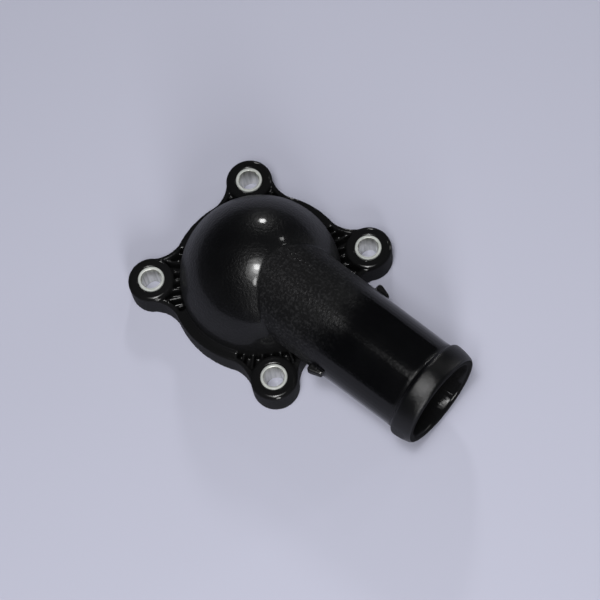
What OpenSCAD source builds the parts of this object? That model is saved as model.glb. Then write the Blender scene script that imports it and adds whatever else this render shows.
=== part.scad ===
// Coolant thermostat housing: a domed cover with a four-eared flange and a level hose spout.
// Millimetres. Z = 0 is the mounting face, +X runs along the spout, +Z points out of the dome.

/* [Flange] */
// Width of the flange outside the dome, between the ears
flange_edge = 4; // [3.5:0.1:7]
// Height of the flange from the mounting face to its upper rim
flange_h = 10.4; // [9:0.1:11]
// Radius of each ear about its bolt
ear_r = 8.4; // [7.6:0.1:10]
// Radius of the hollow curve from the flange into each ear
ear_blend_r = 12; // [8:0.5:16]
// Distance from the dome's wall to the rear left and front right bolts
bolt_near = 9.4; // [8.5:0.1:13]
// Distance from the dome's wall to the front left and rear right bolts
bolt_far = 10.6; // [8.5:0.1:13]
// Angle from the spout round to the rear left bolt
bolt_turn = 136.9; // [130:0.1:142]
// Angle from the rear left bolt to each of its neighbours
bolt_spread = 82.5; // [76:0.1:88]

/* [Pockets] */
// Depth of the pockets below the rim
pocket_depth = 5.4; // [3:0.1:6]
// Thickness of the rim wall outside the pockets
rim_t = 1.7; // [1.2:0.1:2.2]
// Angle that the pockets of one ear span about the middle
pocket_span = 46; // [38:1:52]
// Angle between neighbouring ribs
rib_pitch = 6.3; // [5.6:0.1:7.5]
// Thickness of each rib
rib_t = 1.0; // [0.7:0.1:1.4]
// Drop of the rib tops below the rim
rib_drop = 0.8; // [0.3:0.1:2]

/* [Bosses] */
// Radius of the raised boss round each sleeve
boss_r = 8.1; // [7:0.1:8.3]
// Height of the bosses above the flange rim
boss_rise = 0.7; // [0.3:0.1:1.5]
// Rounding of the boss's top edge
boss_edge_r = 1.1; // [0.4:0.1:1.6]

/* [Sleeves] */
// Outer diameter of the metal sleeves
sleeve_d = 9.5; // [9:0.1:11]
// Bore of the metal sleeves
sleeve_bore_d = 7.2; // [6.2:0.1:7.6]
// Height of the sleeves above the bosses
sleeve_rise = 0.3; // [0.1:0.1:0.8]
// Chamfer inside both ends of the sleeve bore
sleeve_chamfer = 0.3; // [0.1:0.05:0.5]
// Radial gap between sleeve and housing
sleeve_gap = 0.02; // [0.01:0.01:0.1]

/* [Dome] */
// Outer radius of the dome
dome_r = 28.8; // [28.4:0.1:30]
// Height of the dome's centre above the flange rim
dome_rise = 1.4; // [0.8:0.1:4]
// Wall thickness of the dome
dome_wall = 3; // [2.4:0.1:3.4]
// Radius of the fillet at the dome's foot
dome_foot_r = 1.4; // [0.8:0.1:1.8]

/* [Spout] */
// Outer diameter of the hose spout at its bead
spout_d = 34.2; // [30:0.1:36]
// Growth of the spout's radius from its bead to the middle
spout_taper = 0.7; // [0.3:0.1:1]
// Bore of the hose spout at its mouth
spout_bore_d = 28.2; // [24:0.1:29]
// Amount by which the spout's bore narrows towards the dome
spout_draft = 0.6; // [0.2:0.1:1.2]
// Height of the spout's axis above the mounting face
spout_z = 22.2; // [21.5:0.1:23]
// Distance from the middle to the spout's mouth
spout_reach = 81.8; // [70:0.1:110]
// Height of the bead above the spout
bead_rise = 1.5; // [1.4:0.1:2]
// Length of the bead from its heel to the mouth
bead_l = 8; // [6:0.1:10]
// Fall of the bead's crown from its heel towards the mouth
bead_fall = 1; // [0.6:0.1:1.6]
// Rounding of the bead's heel
bead_heel_r = 1.3; // [0.6:0.1:1.3]
// Bevel at the outer edge of the mouth
lip_w = 0.6; // [0.3:0.1:0.8]
// Rounding of the inner edge at the mouth
mouth_r = 0.7; // [0.3:0.1:1]

/* [Hose stops] */
// Distance from the middle to the near end of the hose stops
stop_x = 38.6; // [36:0.1:46]
// Length of the hose stops along the spout
stop_l = 5.6; // [4:0.1:8]
// Height of the hose stops above the spout
stop_rise = 2.9; // [2.4:0.1:4]
// Fall of the hose stops towards the mouth
stop_fall = 1.4; // [0.8:0.1:1.6]
// Thickness of the hose stops
stop_t = 3.2; // [2.4:0.1:6]
// Depth of the hose stops below the spout's axis
stop_drop = 0.7; // [0:0.1:1.5]
// Radius of the hose stop's round shoulder
stop_edge_r = 1.1; // [0.8:0.1:1.4]

/* [Seal] */
// Width of the mounting face inside the seal groove
seal_land = 1.7; // [1.3:0.1:2]
// Width of the seal groove
seal_w = 3; // [2.4:0.1:3.4]
// Depth of the seal groove
seal_depth = 2.2; // [1.6:0.1:2.6]
// Gap between the seal and each wall of its groove
seal_gap = 0.1; // [0.05:0.01:0.3]
// Rounding of the seal's inner edges
seal_edge_r = 0.6; // [0.2:0.1:0.9]

/* [Hidden] */
$fn = 96;
EPS = 0.5;
BLEND_BITE = 0.15;
RIBS = [-3:3];
ARC_STEPS = 8;
HEEL_END = -10;
RAMP_START = 70;
PLASTIC = [0.06, 0.06, 0.065];
METAL = [0.78, 0.79, 0.78];
RUBBER = [0.04, 0.04, 0.04];

flange_r = dome_r + flange_edge;
boss_h = flange_h + boss_rise;
sleeve_l = boss_h + sleeve_rise;
dome_z = flange_h + dome_rise;
cavity_r = dome_r - dome_wall;
seal_in_r = cavity_r + seal_land;
seal_out_r = seal_in_r + seal_w;
spout_r = spout_d / 2;
bead_r = spout_r + bead_rise;
pocket_floor = flange_h - pocket_depth;

bolt_front_left = polar(dome_r + bolt_far, bolt_turn - bolt_spread);
bolt_rear_left = polar(dome_r + bolt_near, bolt_turn);
bolt_rear_right = polar(dome_r + bolt_far, bolt_turn + bolt_spread);
bolt_front_right = polar(dome_r + bolt_near, bolt_turn + 180);
BOLTS = [bolt_front_left, bolt_rear_left, bolt_rear_right, bolt_front_right];

function polar(r, a) = [r * cos(a), r * sin(a)];
function angle_of(p) = atan2(p[1], p[0]);
function arc(c, r, a, b) = [for (i = [0:ARC_STEPS]) c + polar(r, a + (b - a) * i / ARC_STEPS)];

// Centre of the blend curve beside an ear: it runs into the flange circle and the ear circle
blend_out = flange_r + ear_blend_r - BLEND_BITE;
blend_ear = ear_r + ear_blend_r - BLEND_BITE;
function blend_turn(d) = acos((pow(blend_out, 2) + d * d - pow(blend_ear, 2)) / (2 * d * blend_out));
function blend_centre(bolt, side) = polar(blend_out, angle_of(bolt) + side * blend_turn(norm(bolt)));

// Flange outline, drawn smaller all round by an inset
module outline(inset) {
    circle(flange_r - inset);
    for (bolt = BOLTS) {
        translate(bolt)
            circle(ear_r - inset);
        difference() {
            polygon([[0, 0], blend_centre(bolt, -1), bolt, blend_centre(bolt, 1)]);
            for (side = [-1, 1])
                translate(blend_centre(bolt, side))
                    circle(ear_blend_r + inset);
        }
    }
}

// Wedge about the middle that holds the pockets of one ear
module pocket_wedge(bolt) {
    reach = norm(bolt) + ear_r;
    half = pocket_span / 2;
    polygon([[0, 0], polar(reach, angle_of(bolt) - half), polar(reach, angle_of(bolt) + half)]);
}

// Pockets between the dome, the boss and the rim of one ear
module pockets(bolt) {
    intersection() {
        outline(rim_t);
        difference() {
            pocket_wedge(bolt);
            circle(dome_r - EPS);
            translate(bolt)
                circle(boss_r - EPS);
        }
    }
}

// Thin ribs across the pockets of one ear
module ribs(bolt) {
    for (i = RIBS)
        rotate(angle_of(bolt) + i * rib_pitch)
            translate([cavity_r + EPS, -rib_t / 2])
                square([norm(bolt) - cavity_r - EPS, rib_t]);
}

// Hollow curve from the flange rim up into the dome's wall
module dome_foot() {
    rotate_extrude()
        polygon(concat(
            [[cavity_r, flange_h - EPS], [dome_r + dome_foot_r, flange_h - EPS]],
            arc([dome_r + dome_foot_r, flange_h + dome_foot_r], dome_foot_r, 270, 180),
            [[cavity_r, flange_h + dome_foot_r]]));
}

module flange() {
    difference() {
        union() {
            linear_extrude(flange_h)
                outline(0);
            dome_foot();
        }
        for (bolt = BOLTS)
            translate([0, 0, pocket_floor])
                linear_extrude(pocket_depth + dome_foot_r + EPS)
                    pockets(bolt);
    }
    for (bolt = BOLTS)
        translate([0, 0, pocket_floor - EPS])
            linear_extrude(pocket_depth - rib_drop + EPS)
                intersection() {
                    ribs(bolt);
                    outline(rim_t / 2);
                }
}

module boss() {
    rotate_extrude()
        polygon(concat(
            [[0, EPS], [boss_r, EPS]],
            arc([boss_r - boss_edge_r, boss_h - boss_edge_r], boss_edge_r, 0, 90),
            [[0, boss_h]]));
}

// Upright wall and round cap of a given radius, from a given height upwards
module dome_solid(r, from_z) {
    rotate_extrude() {
        intersection() {
            translate([0, dome_z])
                circle(r);
            translate([0, dome_z])
                square(r);
        }
        translate([0, from_z])
            square([r, dome_z - from_z]);
    }
}

// Moves what is drawn about Z onto the spout's axis
module along_spout() {
    translate([0, 0, spout_z])
        rotate([0, 90, 0])
            children();
}

// Spout with a barbed bead: a round heel, and a crown that falls towards the mouth
module spout_solid() {
    heel = spout_reach - bead_l;
    crown_l = bead_l - bead_heel_r - lip_w;
    crown_r = (crown_l * crown_l + bead_fall * bead_fall) / (2 * bead_fall);
    along_spout()
        rotate_extrude()
            polygon(concat(
                [[0, 0], [spout_r + spout_taper, 0], [spout_r, heel]],
                arc([bead_r - bead_heel_r, heel + bead_heel_r], bead_heel_r, -90, HEEL_END),
                arc([bead_r - crown_r, heel + bead_heel_r], crown_r, 0, asin(crown_l / crown_r)),
                [[bead_r - bead_fall - lip_w, spout_reach], [0, spout_reach]]));
}

module spout_bore() {
    bore_r = spout_bore_d / 2;
    along_spout()
        rotate_extrude()
            polygon(concat(
                [[0, 0], [bore_r - spout_draft / 2, 0]],
                arc([bore_r + mouth_r, spout_reach - mouth_r], mouth_r, 180, 90),
                [[bore_r + mouth_r, spout_reach + EPS], [0, spout_reach + EPS]]));
}

// Hose stops: a round shoulder towards the dome, from which the top falls towards the mouth
module hose_stops() {
    out = spout_r + stop_rise;
    shoulder = [stop_x + stop_edge_r, out - stop_edge_r];
    for (side = [0, 1])
        mirror([0, side, 0])
            translate([0, 0, spout_z - stop_drop])
                linear_extrude(stop_t)
                    polygon(concat(
                        [[stop_x + stop_l, spout_r - EPS], [stop_x + stop_l, out - stop_fall]],
                        arc(shoulder, stop_edge_r, RAMP_START, 180),
                        [[stop_x, spout_r - EPS]]));
}

module housing() {
    color(PLASTIC)
        difference() {
            union() {
                flange();
                for (bolt = BOLTS)
                    translate(bolt)
                        boss();
                dome_solid(dome_r, pocket_floor - EPS);
                spout_solid();
                hose_stops();
            }
            dome_solid(cavity_r, -EPS);
            spout_bore();
            seal_groove();
            for (bolt = BOLTS)
                translate([bolt[0], bolt[1], -EPS])
                    cylinder(h = boss_h + 2 * EPS, r = sleeve_d / 2 + sleeve_gap);
        }
}

module seal_groove() {
    rotate_extrude()
        translate([seal_in_r, -EPS])
            square([seal_w, seal_depth + EPS]);
}

module seal_ring() {
    inner = seal_in_r + seal_gap;
    outer = seal_out_r - seal_gap;
    top = seal_depth - seal_gap;
    color(RUBBER)
        rotate_extrude()
            polygon(concat(
                [[inner, 0], [outer, 0]],
                arc([outer - seal_edge_r, top - seal_edge_r], seal_edge_r, 0, 90),
                arc([inner + seal_edge_r, top - seal_edge_r], seal_edge_r, 90, 180)));
}

module sleeve(bolt) {
    outer = sleeve_d / 2;
    inner = sleeve_bore_d / 2;
    color(METAL)
        translate(bolt)
            rotate_extrude()
                polygon([
                    [inner + sleeve_chamfer, 0],
                    [outer, 0],
                    [outer, sleeve_l],
                    [inner + sleeve_chamfer, sleeve_l],
                    [inner, sleeve_l - sleeve_chamfer],
                    [inner, sleeve_chamfer]]);
}

housing();
sleeve(bolt_front_left);  // sleeve_front_left
sleeve(bolt_rear_left);  // sleeve_rear_left
sleeve(bolt_rear_right);  // sleeve_rear_right
sleeve(bolt_front_right);  // sleeve_front_right
seal_ring();
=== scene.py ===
import math

import bmesh
import bpy
from mathutils import Matrix, Vector


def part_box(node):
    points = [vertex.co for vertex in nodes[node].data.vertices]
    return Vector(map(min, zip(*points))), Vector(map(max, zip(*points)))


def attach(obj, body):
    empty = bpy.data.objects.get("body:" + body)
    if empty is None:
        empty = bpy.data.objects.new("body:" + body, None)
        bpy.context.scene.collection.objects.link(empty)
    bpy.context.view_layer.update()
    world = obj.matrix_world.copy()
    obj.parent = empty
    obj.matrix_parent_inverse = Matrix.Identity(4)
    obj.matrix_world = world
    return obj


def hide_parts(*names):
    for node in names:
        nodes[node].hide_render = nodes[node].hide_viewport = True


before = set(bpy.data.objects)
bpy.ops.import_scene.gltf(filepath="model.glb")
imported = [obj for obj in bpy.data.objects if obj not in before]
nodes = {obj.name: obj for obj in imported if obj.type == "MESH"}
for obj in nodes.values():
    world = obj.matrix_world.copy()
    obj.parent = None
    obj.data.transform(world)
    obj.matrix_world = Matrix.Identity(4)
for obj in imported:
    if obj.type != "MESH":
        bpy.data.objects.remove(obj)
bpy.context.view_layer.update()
scene = bpy.context.scene
mm = 0.001
mmPerMetre = 1000
mergeGap = 0.001 * mm
print("frame loaded:", ", ".join(sorted(nodes)))


# sRGB hex to linear colour
def linear(code):
    parts = [int(code[i:i + 2], 16) / 255 for i in (0, 2, 4)]
    return (*[c / 12.92 if c <= 0.04045 else ((c + 0.055) / 1.055) ** 2.4 for c in parts], 1.0)


# adds one node: its own settings, the values of its inputs, and what feeds them
def addNode(tree, kind, settings=None, values=None, feeds=None):
    node = tree.nodes.new(kind)
    for name, value in (settings or {}).items():
        setattr(node, name, value)
    for name, value in (values or {}).items():
        node.inputs[name].default_value = value
    for name, socket in (feeds or {}).items():
        tree.links.new(socket, node.inputs[name])
    return node


def newMaterial(name):
    made = bpy.data.materials.new(name)
    made.use_nodes = True
    made.node_tree.nodes.clear()
    return made, made.node_tree


def setRamp(ramp, stops):
    band = ramp.color_ramp
    while len(band.elements) < len(stops):
        band.elements.new(0.5)
    for element, (place, color) in zip(band.elements, stops):
        element.position = place
        element.color = color


# black glass-filled nylon, injection moulded: near black, with a thin glossy resin skin over a duller body,
# which is dullest on the flange and at the dome's foot. The spout has the grain of a spark-eroded mould,
# with paler fibre ends, up to the hose stops. From there the seat of the hose is polished and dark, and the
# bead at its end is satin. The lip is dull, without the skin, and the bore inside it is smooth
nylonLook = {
    "black": "050506",
    "worn": "0a0a0b",
    "wornAt": (0.35, 0.7),
    "fibre": "2b2b2c",
    "fibreAt": (0.48, 0.75),
    "fibreMost": 0.72,
    "grainMm": 0.95,  # real grain is about 0.1 mm, drawn coarser so that it shows
    "grainDetail": 2.5,
    "grainRough": 0.6,
    "satinMm": 0.25,
    "sinkMm": 16,
    "sinkDetail": 3.0,
    "sinkDepth": 0.1,
    "relief": 0.4 * mm,
    "patchy": 0.06,
    "bend": 1.5,
    "shine": 0.12,
    "skinRough": 0.1,
    "skinBend": 4.0,  # high, so that the thin skin shines about as much from every side
    "zones": {
        "dome": {"rough": 0.37, "skin": 0.045, "depth": 0.42, "ripples": 0.02},
        "grain": {"rough": 0.66, "skin": 0.02, "depth": 0.7, "ripples": 0.35},
        "seat": {"rough": 0.1, "skin": 0.03, "depth": 0.1, "ripples": 0.03},
        "bead": {"rough": 0.4, "skin": 0.045, "depth": 0.12, "ripples": 0.28},
        "lip": {"rough": 0.9, "skin": 0.0, "depth": 0.12, "ripples": 0.1},
    },
    "alongSpout": ("grain", "seat", "seat", "bead", "bead", "lip"),
    "mouth": {"skin": 0.045, "ripples": 0.04},
    "domeMiddle": (0.0, 0.0, 11.8 * mm),
    "domeReach": 28.9 * mm,
    "footRough": 0.85,
    "footRise": (13 * mm, 28 * mm),
    "spoutAxis": (0.0, 0.0, 22.2 * mm),
    "spoutSide": 17.8 * mm,
    "spoutFrom": 5 * mm,
    "spoutEnd": 85 * mm,
    "grainEnd": (31 * mm, 46 * mm),
    "beadStart": (71.5 * mm, 73 * mm),
    "lipStart": (83 * mm, 84 * mm),  # past the mouth: what lies inside the bead is sent there
    "lipReach": (17.0 * mm, 17.5 * mm),
    "mouthStart": (76 * mm, 77 * mm),
    "mouthReach": (14.9 * mm, 15.1 * mm),
    "fade": 0.3 * mm,
}


def makeNylon():
    look = nylonLook
    made, tree = newMaterial("glassFilledNylonMoulded")
    place = addNode(tree, "ShaderNodeTexCoord").outputs["Object"]
    parts = addNode(tree, "ShaderNodeSeparateXYZ", feeds={"Vector": place})
    forward = parts.outputs["X"]
    grain = addNode(tree, "ShaderNodeTexNoise",
                    values={"Scale": mmPerMetre / look["grainMm"], "Detail": look["grainDetail"],
                            "Roughness": look["grainRough"]},
                    feeds={"Vector": place}).outputs["Fac"]
    satin = addNode(tree, "ShaderNodeTexNoise", values={"Scale": mmPerMetre / look["satinMm"]},
                    feeds={"Vector": place}).outputs["Fac"]
    sink = addNode(tree, "ShaderNodeTexNoise",
                   values={"Scale": mmPerMetre / look["sinkMm"], "Detail": look["sinkDetail"]},
                   feeds={"Vector": place}).outputs["Fac"]

    # where the spout is: outside the dome, near the middle and ahead of it
    away = addNode(tree, "ShaderNodeVectorMath", {"operation": "DISTANCE"}, {1: look["domeMiddle"]},
                   {0: place})
    aside = addNode(tree, "ShaderNodeMath", {"operation": "ABSOLUTE"}, feeds={0: parts.outputs["Y"]})
    beyond = addNode(tree, "ShaderNodeMapRange",
                     values={"From Min": look["domeReach"], "From Max": look["domeReach"] + look["fade"]},
                     feeds={"Value": away.outputs["Value"]})
    within = addNode(tree, "ShaderNodeMapRange",
                     values={"From Min": look["spoutSide"] + look["fade"], "From Max": look["spoutSide"]},
                     feeds={"Value": aside.outputs["Value"]})
    started = addNode(tree, "ShaderNodeMapRange",
                      values={"From Min": look["spoutFrom"], "From Max": look["spoutFrom"] + look["fade"]},
                      feeds={"Value": forward})
    both = addNode(tree, "ShaderNodeMath", {"operation": "MULTIPLY"},
                   feeds={0: beyond.outputs["Result"], 1: within.outputs["Result"]})
    spout = addNode(tree, "ShaderNodeMath", {"operation": "MULTIPLY"},
                    feeds={0: both.outputs["Value"], 1: started.outputs["Result"]}).outputs["Value"]

    # how far along the spout, with the lip and the inside of the bead put last
    offAxis = addNode(tree, "ShaderNodeVectorMath", {"operation": "SUBTRACT"}, {1: look["spoutAxis"]},
                      {0: place})
    across = addNode(tree, "ShaderNodeVectorMath", {"operation": "MULTIPLY"}, {1: (0.0, 1.0, 1.0)},
                     {0: offAxis.outputs["Vector"]})
    radius = addNode(tree, "ShaderNodeVectorMath", {"operation": "LENGTH"},
                     feeds={0: across.outputs["Vector"]})
    inner = addNode(tree, "ShaderNodeMapRange",
                    values={"From Min": look["lipReach"][1], "From Max": look["lipReach"][0]},
                    feeds={"Value": radius.outputs["Value"]})
    onBead = addNode(tree, "ShaderNodeMapRange",
                     values={"From Min": look["beadStart"][0], "From Max": look["beadStart"][1]},
                     feeds={"Value": forward}).outputs["Result"]
    onLip = addNode(tree, "ShaderNodeMath", {"operation": "MULTIPLY"},
                    feeds={0: onBead, 1: inner.outputs["Result"]})
    share = addNode(tree, "ShaderNodeMapRange", values={"From Max": look["spoutEnd"]},
                    feeds={"Value": forward})
    along = addNode(tree, "ShaderNodeMath", {"operation": "MAXIMUM"},
                    feeds={0: share.outputs["Result"], 1: onLip.outputs["Value"]}).outputs["Value"]

    # each finish as it changes from zone to zone, and the body's roughness with height as well
    duller = addNode(tree, "ShaderNodeMapRange",
                     values={"From Min": look["footRise"][0], "From Max": look["footRise"][1],
                             "To Min": look["footRough"], "To Max": look["zones"]["dome"]["rough"]},
                     feeds={"Value": parts.outputs["Z"]})
    ends = [x / look["spoutEnd"] for x in look["grainEnd"] + look["beadStart"] + look["lipStart"]]
    zoned = {}
    for kind, onDome in look["zones"]["dome"].items():
        ramp = addNode(tree, "ShaderNodeValToRGB", feeds={"Fac": along})
        greys = [look["zones"][zone][kind] for zone in look["alongSpout"]]
        setRamp(ramp, [(x, (grey, grey, grey, 1.0)) for x, grey in zip(ends, greys)])
        feeds = {"Factor": spout, "B": ramp.outputs["Color"]}
        if kind == "rough":
            feeds["A"] = duller.outputs["Result"]
        mixed = addNode(tree, "ShaderNodeMix", {"data_type": "FLOAT"}, {"A": onDome}, feeds)
        zoned[kind] = mixed.outputs["Result"]

    # the bore's own skin near the mouth
    bored = addNode(tree, "ShaderNodeMapRange",
                    values={"From Min": look["mouthReach"][1], "From Max": look["mouthReach"][0]},
                    feeds={"Value": radius.outputs["Value"]})
    nearMouth = addNode(tree, "ShaderNodeMapRange",
                        values={"From Min": look["mouthStart"][0], "From Max": look["mouthStart"][1]},
                        feeds={"Value": forward})
    inMouth = addNode(tree, "ShaderNodeMath", {"operation": "MULTIPLY"},
                      feeds={0: bored.outputs["Result"], 1: nearMouth.outputs["Result"]})
    for kind, inBore in look["mouth"].items():
        mixed = addNode(tree, "ShaderNodeMix", {"data_type": "FLOAT"}, {"B": inBore},
                        {"Factor": inMouth.outputs["Value"], "A": zoned[kind]})
        zoned[kind] = mixed.outputs["Result"]

    # colour: near black in slow patches, with fibre ends in the grain of the spout's root
    shade = addNode(tree, "ShaderNodeValToRGB", feeds={"Fac": sink})
    setRamp(shade, list(zip(look["wornAt"], (linear(look["black"]), linear(look["worn"])))))
    rooted = addNode(tree, "ShaderNodeMapRange",
                     values={"From Min": look["grainEnd"][1], "From Max": look["grainEnd"][0]},
                     feeds={"Value": forward})
    grained = addNode(tree, "ShaderNodeMath", {"operation": "MULTIPLY"},
                      feeds={0: rooted.outputs["Result"], 1: spout})
    speck = addNode(tree, "ShaderNodeMapRange",
                    values={"From Min": look["fibreAt"][0], "From Max": look["fibreAt"][1],
                            "To Max": look["fibreMost"]},
                    feeds={"Value": grain})
    shown = addNode(tree, "ShaderNodeMath", {"operation": "MULTIPLY"},
                    feeds={0: speck.outputs["Result"], 1: grained.outputs["Value"]})
    color = addNode(tree, "ShaderNodeMix", {"data_type": "RGBA"}, {"B": linear(look["fibre"])},
                    {"Factor": shown.outputs["Value"], "A": shade.outputs["Color"]})

    # relief: slow sinks all over, and under them the grain, which is finer on the bead
    patchy = addNode(tree, "ShaderNodeMapRange",
                     values={"To Min": -look["patchy"], "To Max": look["patchy"]}, feeds={"Value": sink})
    rough = addNode(tree, "ShaderNodeMath", {"operation": "ADD"},
                    feeds={0: zoned["rough"], 1: patchy.outputs["Result"]})
    relief = addNode(tree, "ShaderNodeMix", {"data_type": "FLOAT"},
                     feeds={"Factor": onBead, "A": grain, "B": satin}).outputs["Result"]
    soft = addNode(tree, "ShaderNodeBump",
                   values={"Strength": look["sinkDepth"], "Distance": look["relief"]},
                   feeds={"Height": sink}).outputs["Normal"]
    body = addNode(tree, "ShaderNodeBump", values={"Distance": look["relief"]},
                   feeds={"Height": relief, "Normal": soft, "Strength": zoned["depth"]})
    gloss = addNode(tree, "ShaderNodeBump", values={"Distance": look["relief"]},
                    feeds={"Height": relief, "Normal": soft, "Strength": zoned["ripples"]})
    shader = addNode(tree, "ShaderNodeBsdfPrincipled",
                     values={"IOR": look["bend"], "Specular IOR Level": look["shine"],
                             "Coat Roughness": look["skinRough"], "Coat IOR": look["skinBend"]},
                     feeds={"Base Color": color.outputs["Result"], "Roughness": rough.outputs["Value"],
                            "Normal": body.outputs["Normal"], "Coat Normal": gloss.outputs["Normal"],
                            "Coat Weight": zoned["skin"]})
    addNode(tree, "ShaderNodeOutputMaterial", feeds={"Surface": shader.outputs["BSDF"]})
    return made


# turned steel with bright zinc: pale silver with faint rings left by the lathe on its dull end faces, and a
# smoother bore whose paler colour is painted reflected light, with painted streaks of reflected light along
# it
zincLook = {
    "bright": "d6d8d5",
    "dull": "bfc2bf",
    "dullAt": (0.3, 0.65),
    # painted reflection: the bore's colour is paler than the zinc to stand in for light reflected inside
    # it, and falls to the dimmer colour between the painted streaks
    "bore": "f3f3ec",
    "paintedBoreDim": "cfd0c8",
    "paintedBoreDimAt": (0.35, 0.6),
    "faceRough": (0.7, 0.84),
    "boreRough": 0.4,
    "boreEdge": (3.65 * mm, 3.85 * mm),
    "ringMm": 0.35,
    "ringsPerScale": 20,  # the wave pattern's own count of rings per unit of its scale
    "ringWander": 0.6,
    "ringDetail": 1.0,
    "ringStrength": 0.06,
    "ringDepth": 0.02 * mm,
    "stainMm": 3.0,
    "stainDetail": 3.0,
    "paintedStreakMm": 0.9,
    "paintedStreakStretch": 0.06,
}


def makeZinc(name, centre):
    look = zincLook
    made, tree = newMaterial(name)
    place = addNode(tree, "ShaderNodeTexCoord").outputs["Object"]
    middle = addNode(tree, "ShaderNodeMapping", values={"Location": (-centre.x, -centre.y, 0.0)},
                     feeds={"Vector": place}).outputs["Vector"]
    flat = addNode(tree, "ShaderNodeVectorMath", {"operation": "MULTIPLY"}, {1: (1.0, 1.0, 0.0)},
                   {0: middle})
    reach = addNode(tree, "ShaderNodeVectorMath", {"operation": "LENGTH"},
                    feeds={0: flat.outputs["Vector"]})
    onFace = addNode(tree, "ShaderNodeMapRange",
                     values={"From Min": look["boreEdge"][0], "From Max": look["boreEdge"][1]},
                     feeds={"Value": reach.outputs["Value"]}).outputs["Result"]
    rings = addNode(tree, "ShaderNodeTexWave", {"wave_type": "RINGS", "rings_direction": "Z"},
                    {"Scale": mmPerMetre / look["ringMm"] / look["ringsPerScale"],
                     "Distortion": look["ringWander"], "Detail": look["ringDetail"]},
                    {"Vector": middle})
    stain = addNode(tree, "ShaderNodeTexNoise",
                    values={"Scale": mmPerMetre / look["stainMm"], "Detail": look["stainDetail"]},
                    feeds={"Vector": place}).outputs["Fac"]
    tone = addNode(tree, "ShaderNodeValToRGB", feeds={"Fac": stain})
    setRamp(tone, list(zip(look["dullAt"], (linear(look["dull"]), linear(look["bright"])))))
    # painted streaks of reflected light along the bore, from noise stretched along the sleeve's axis
    stretchedForStreaks = addNode(tree, "ShaderNodeVectorMath", {"operation": "MULTIPLY"},
                    {1: (1.0, 1.0, look["paintedStreakStretch"])}, {0: place})
    paintedStreak = addNode(tree, "ShaderNodeTexNoise", values={"Scale": mmPerMetre / look["paintedStreakMm"]},
                     feeds={"Vector": stretchedForStreaks.outputs["Vector"]})
    paintedBoreSheen = addNode(tree, "ShaderNodeValToRGB", feeds={"Fac": paintedStreak.outputs["Fac"]})
    setRamp(paintedBoreSheen, list(zip(look["paintedBoreDimAt"], (linear(look["paintedBoreDim"]), linear(look["bore"])))))
    # the bore carries the painted reflection and streaks, the end faces keep the zinc's random tone
    color = addNode(tree, "ShaderNodeMix", {"data_type": "RGBA"},
                    feeds={"Factor": onFace, "A": paintedBoreSheen.outputs["Color"], "B": tone.outputs["Color"]})
    faceRough = addNode(tree, "ShaderNodeMapRange",
                        values={"To Min": look["faceRough"][0], "To Max": look["faceRough"][1]},
                        feeds={"Value": stain})
    rough = addNode(tree, "ShaderNodeMix", {"data_type": "FLOAT"}, {"A": look["boreRough"]},
                    {"Factor": onFace, "B": faceRough.outputs["Result"]})
    bump = addNode(tree, "ShaderNodeBump",
                   values={"Strength": look["ringStrength"], "Distance": look["ringDepth"]},
                   feeds={"Height": rings.outputs["Fac"]})
    shader = addNode(tree, "ShaderNodeBsdfPrincipled", values={"Metallic": 1.0},
                     feeds={"Base Color": color.outputs["Result"], "Roughness": rough.outputs["Result"],
                            "Normal": bump.outputs["Normal"]})
    addNode(tree, "ShaderNodeOutputMaterial", feeds={"Surface": shader.outputs["BSDF"]})
    return made


# moulded EPDM rubber: dull black with a slight bloom
rubberLook = {
    "black": "101011",
    "bloom": "1f1f20",
    "bloomAt": (0.35, 0.7),
    "bloomMm": 5.0,
    "bloomDetail": 3.0,
    "rough": (0.55, 0.75),
    "grainMm": 0.5,
    "grainDetail": 2.0,
    "grainStrength": 0.2,
    "grainDepth": 0.05 * mm,
    "bend": 1.5,
}


def makeRubber():
    look = rubberLook
    made, tree = newMaterial("epdmRubberMoulded")
    place = addNode(tree, "ShaderNodeTexCoord").outputs["Object"]
    bloom = addNode(tree, "ShaderNodeTexNoise",
                    values={"Scale": mmPerMetre / look["bloomMm"], "Detail": look["bloomDetail"]},
                    feeds={"Vector": place}).outputs["Fac"]
    grain = addNode(tree, "ShaderNodeTexNoise",
                    values={"Scale": mmPerMetre / look["grainMm"], "Detail": look["grainDetail"]},
                    feeds={"Vector": place})
    tone = addNode(tree, "ShaderNodeValToRGB", feeds={"Fac": bloom})
    setRamp(tone, list(zip(look["bloomAt"], (linear(look["black"]), linear(look["bloom"])))))
    rough = addNode(tree, "ShaderNodeMapRange",
                    values={"To Min": look["rough"][0], "To Max": look["rough"][1]},
                    feeds={"Value": bloom})
    bump = addNode(tree, "ShaderNodeBump",
                   values={"Strength": look["grainStrength"], "Distance": look["grainDepth"]},
                   feeds={"Height": grain.outputs["Fac"]})
    shader = addNode(tree, "ShaderNodeBsdfPrincipled", values={"IOR": look["bend"]},
                     feeds={"Base Color": tone.outputs["Color"], "Roughness": rough.outputs["Result"],
                            "Normal": bump.outputs["Normal"]})
    addNode(tree, "ShaderNodeOutputMaterial", feeds={"Surface": shader.outputs["BSDF"]})
    return made


def addPiece(name, mesh, material, replaced):
    piece = bpy.data.objects.new(name, mesh)
    scene.collection.objects.link(piece)
    mesh.materials.clear()
    mesh.materials.append(material)
    for face in mesh.polygons:
        face.use_smooth = True
    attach(piece, "root")
    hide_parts(replaced)


# the moulded housing: a merged copy of the solid whose sharp edges are softened as a mould leaves them
housingShape = {"voxel": 0.36 * mm, "softRounds": 4, "softAmount": 0.5, "triangles": 185000}


def countTriangles(mesh):
    return sum(len(face.vertices) - 2 for face in mesh.polygons)


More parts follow.
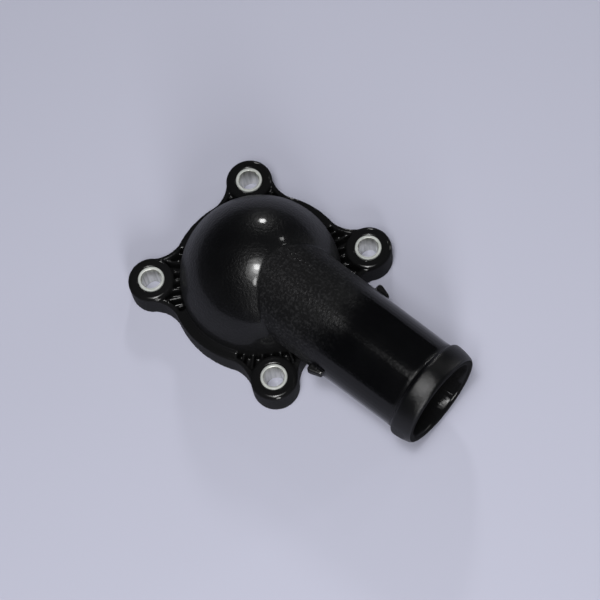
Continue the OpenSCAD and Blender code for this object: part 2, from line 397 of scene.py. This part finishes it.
def softenedCopy(node):
    shape = housingShape
    mesh = node.data.copy()
    bm = bmesh.new()
    bm.from_mesh(mesh)
    bmesh.ops.remove_doubles(bm, verts=bm.verts, dist=mergeGap)
    bm.to_mesh(mesh)
    bm.free()
    blank = bpy.data.objects.new("housingBlank", mesh)
    scene.collection.objects.link(blank)
    even = blank.modifiers.new("even", "REMESH")
    even.mode = "VOXEL"
    even.voxel_size = shape["voxel"]
    soft = blank.modifiers.new("soft", "SMOOTH")
    soft.factor = shape["softAmount"]
    soft.iterations = shape["softRounds"]
    view = bpy.context.evaluated_depsgraph_get()
    count = countTriangles(blank.evaluated_get(view).data)
    thin = blank.modifiers.new("thin", "DECIMATE")
    thin.ratio = min(1.0, shape["triangles"] / count)
    view = bpy.context.evaluated_depsgraph_get()
    made = bpy.data.meshes.new_from_object(blank.evaluated_get(view))
    bpy.data.objects.remove(blank)
    print("housing softened:", count, "to", countTriangles(made), "triangles")
    return made


# the bore opens a little towards the lip: fully up to one radius, and not at all from another
mouthShape = {"axisZ": 22.2 * mm, "start": 77.8 * mm, "slope": 0.21, "full": 14.8 * mm, "none": 17.0 * mm}


def flareMouth(mesh):
    shape = mouthShape
    for vertex in mesh.vertices:
        past = vertex.co.x - shape["start"]
        spoke = Vector((0.0, vertex.co.y, vertex.co.z - shape["axisZ"]))
        share = (shape["none"] - spoke.length) / (shape["none"] - shape["full"])
        if past > 0 and share > 0:
            vertex.co += spoke.normalized() * past * shape["slope"] * min(1.0, share)
    mesh.update()
    return mesh


mesh = flareMouth(softenedCopy(nodes["housing"]))
addPiece("housingMoulded", mesh, makeNylon(), "housing")


# closed ring turned from a rectangle between two radii and two heights, with its corners rounded
def turnedRing(inner, outer, low, high, shape):
    centre = (low + high) / 2
    section = [(inner, low.z), (outer, low.z), (outer, high.z), (inner, high.z)]
    bm = bmesh.new()
    corners = [bm.verts.new((centre.x + r, centre.y, z)) for r, z in section]
    face = bm.faces.new(corners)
    bmesh.ops.bevel(bm, geom=list(face.verts), offset=shape["edge"], offset_type="OFFSET",
                    segments=shape["edgeSteps"], profile=0.5, affect="VERTICES", material=-1)
    bmesh.ops.delete(bm, geom=list(bm.faces), context="FACES_ONLY")
    bmesh.ops.spin(bm, geom=list(bm.verts) + list(bm.edges), cent=(centre.x, centre.y, 0.0),
                   axis=(0, 0, 1), angle=math.tau, steps=shape["steps"], use_merge=True)
    bmesh.ops.remove_doubles(bm, verts=bm.verts, dist=mergeGap)
    bmesh.ops.recalc_face_normals(bm, faces=bm.faces)
    mesh = bpy.data.meshes.new("turnedRing")
    bm.to_mesh(mesh)
    bm.free()
    return mesh


sleeveShape = {"bore": 3.6 * mm, "edge": 0.28 * mm, "edgeSteps": 3, "steps": 96}
for corner in ("front_left", "rear_left", "rear_right", "front_right"):
    low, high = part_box("sleeve_" + corner)
    outer = (high.x - low.x) / 2
    label = "".join(word.capitalize() for word in corner.split("_"))
    mesh = turnedRing(sleeveShape["bore"], outer, low, high, sleeveShape)
    zinc = makeZinc("zincPlatedTurnedSteel" + label, (low + high) / 2)
    addPiece("sleeve" + label, mesh, zinc, "sleeve_" + corner)
print("sleeves turned")

sealShape = {"width": 2.8 * mm, "edge": 0.5 * mm, "edgeSteps": 3, "steps": 160}
low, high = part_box("seal_ring")
outer = (high.x - low.x) / 2
mesh = turnedRing(outer - sealShape["width"], outer, low, high, sealShape)
addPiece("sealRing", mesh, makeRubber(), "seal_ring")
print("seal made")

# pale studio paper under the flange
floorLook = {"pale": "b6b7c7", "reach": 3.0, "rough": 0.9, "shine": 0.2}


def makeFloor():
    look = floorLook
    bm = bmesh.new()
    bmesh.ops.create_grid(bm, x_segments=1, y_segments=1, size=look["reach"])
    mesh = bpy.data.meshes.new("floor")
    bm.to_mesh(mesh)
    bm.free()
    floor = bpy.data.objects.new("floor", mesh)
    scene.collection.objects.link(floor)
    made, tree = newMaterial("paleStudioPaper")
    shader = addNode(tree, "ShaderNodeBsdfPrincipled",
                     values={"Base Color": linear(look["pale"]), "Roughness": look["rough"],
                             "Specular IOR Level": look["shine"]})
    addNode(tree, "ShaderNodeOutputMaterial", feeds={"Surface": shader.outputs["BSDF"]})
    mesh.materials.append(made)


makeFloor()

# camera on the side that the photo shows: angles in degrees, lengths in metres, places in picture points
cameraSet = {
    "turn": 53.11,
    "height": 67.22,
    "roll": -13.96,
    "distance": 0.75,
    "lens": 125,
    "sensor": 36,
    "nearest": 0.01,
    "pointSize": 0.36 * mm,
    "originAt": (264.04, 288.28),
    "middle": (300.0, 300.0),
}


def makeCamera():
    turn, height, roll = (math.radians(cameraSet[k]) for k in ("turn", "height", "roll"))
    flat = math.cos(height)
    back = Vector((math.sin(turn) * flat, -math.cos(turn) * flat, math.sin(height)))
    right = Vector((math.cos(turn), math.sin(turn), 0.0))
    up = back.cross(right)
    rightRolled = math.cos(roll) * right + math.sin(roll) * up
    upRolled = math.cos(roll) * up - math.sin(roll) * right
    aside = (cameraSet["middle"][0] - cameraSet["originAt"][0]) * cameraSet["pointSize"]
    above = (cameraSet["originAt"][1] - cameraSet["middle"][1]) * cameraSet["pointSize"]
    aim = rightRolled * aside + upRolled * above
    place = back * cameraSet["distance"]
    axisBack = (place - aim).normalized()
    axisRight = upRolled.cross(axisBack).normalized()
    axisUp = axisBack.cross(axisRight)
    turned = Matrix((axisRight, axisUp, axisBack)).transposed().to_4x4()
    data = bpy.data.cameras.new("photoView")
    data.lens = cameraSet["lens"]
    data.sensor_width = cameraSet["sensor"]
    data.clip_start = cameraSet["nearest"]
    camera = bpy.data.objects.new("photoView", data)
    camera.matrix_world = Matrix.Translation(place) @ turned
    scene.collection.objects.link(camera)
    scene.camera = camera


makeCamera()

# soft studio lamps, placed from the reflections on the dome: direction as turn from +X and height in
# degrees, then distance, width and depth in metres, and power. The four overhead ones lie inside each
# other, so that their reflection fades outwards
lampSet = {
    "overheadWide": {"turn": -59, "height": 76, "away": 0.85, "wide": 0.42, "deep": 0.54, "power": 1.8},
    "overheadBox": {"turn": -59, "height": 77, "away": 0.84, "wide": 0.28, "deep": 0.36, "power": 0.95},
    "overheadCard": {"turn": -59, "height": 78, "away": 0.83, "wide": 0.165, "deep": 0.21, "power": 1.1},
    "overheadBulb": {"turn": -59, "height": 79, "away": 0.82, "wide": 0.085, "deep": 0.11, "power": 0.75},
    "fillCard": {"turn": -56, "height": 60, "away": 0.9, "wide": 0.09, "deep": 0.20, "power": 1.0},
    "backWindow": {"turn": 126, "height": 29, "away": 1.0, "wide": 0.11, "deep": 0.12, "power": 1.8},
    "sideStrip": {"turn": 64, "height": 14, "away": 1.0, "wide": 0.16, "deep": 0.60, "power": 0.9},
    "sideBulb": {"turn": 87, "height": 43, "away": 1.0, "wide": 0.07, "deep": 0.08, "power": 0.2},
    "frontCard": {"turn": -39, "height": 28, "away": 0.9, "wide": 0.22, "deep": 0.50, "power": 4.0},
}
lampFocus = Vector((0.01, 0.0, 0.02))
worldLook = {"sky": "c9d6e6", "strength": 0.04}


def makeLamps():
    for name, lamp in lampSet.items():
        turn, height = math.radians(lamp["turn"]), math.radians(lamp["height"])
        flat = math.cos(height)
        way = Vector((math.cos(turn) * flat, math.sin(turn) * flat, math.sin(height)))
        data = bpy.data.lights.new(name, "AREA")
        data.shape = "ELLIPSE"
        data.size = lamp["wide"]
        data.size_y = lamp["deep"]
        data.energy = lamp["power"]
        light = bpy.data.objects.new(name, data)
        light.location = lampFocus + way * lamp["away"]
        light.rotation_euler = way.to_track_quat("Z", "Y").to_euler()
        scene.collection.objects.link(light)
    world = bpy.data.worlds.new("studio")
    world.use_nodes = True
    sky = world.node_tree.nodes["Background"]
    sky.inputs["Color"].default_value = linear(worldLook["sky"])
    sky.inputs["Strength"].default_value = worldLook["strength"]
    scene.world = world


makeLamps()
scene.view_settings.view_transform = "Standard"
print("stage set")
